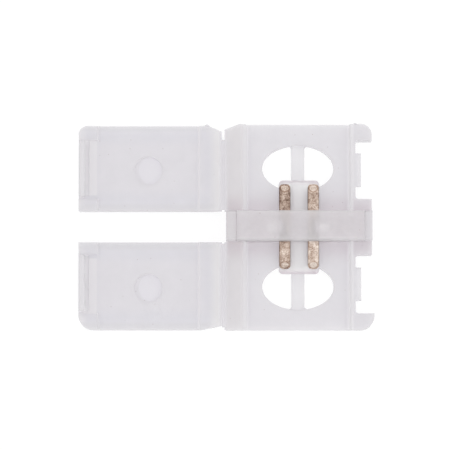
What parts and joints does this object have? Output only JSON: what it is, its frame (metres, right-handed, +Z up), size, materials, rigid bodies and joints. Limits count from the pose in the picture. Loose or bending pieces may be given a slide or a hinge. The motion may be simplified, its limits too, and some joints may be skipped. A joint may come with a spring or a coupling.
{
  "type": "led strip connector",
  "caption": "Open clip connector that joins the ends of two LED strips, with a contact bar across the tray and two hinged snap lids.",
  "frame": {"origin": "middle of the strip channel, on the flat underside of the base tray", "axes": "+X across the strip from the hinges to the latches, +Y along the strip, +Z up out of the open tray"},
  "size_m": [0.0237, 0.0166, 0.0036],
  "materials": {
    "clip_plastic": "milky translucent, as moulded",
    "carrier_plastic": "frosted translucent, as moulded",
    "contact_metal": "bronze strip, slightly grainy"
  },
  "bodies": {
    "tray": {"base": "clip_plastic", "contact_carrier": "carrier_plastic", "contact_left": "contact_metal", "contact_right": "contact_metal", "hinge_web_upper": "clip_plastic", "hinge_web_lower": "clip_plastic"},
    "upper_lid": {"lid_upper": "clip_plastic"},
    "lower_lid": {"lid_lower": "clip_plastic"}
  },
  "joints": [
    {"name": "upper_lid_hinge", "type": "hinge", "parent": "tray", "child": "upper_lid", "pos_m": [-0.00598, 0.0047, 0.00182], "axis": [0, 1, 0], "range_deg": [0, 180], "deforming": ["hinge_web_upper"]},
    {"name": "lower_lid_hinge", "type": "hinge", "parent": "tray", "child": "lower_lid", "pos_m": [-0.00598, -0.0047, 0.00182], "axis": [0, 1, 0], "range_deg": [0, 180], "deforming": ["hinge_web_lower"]}
  ]
}
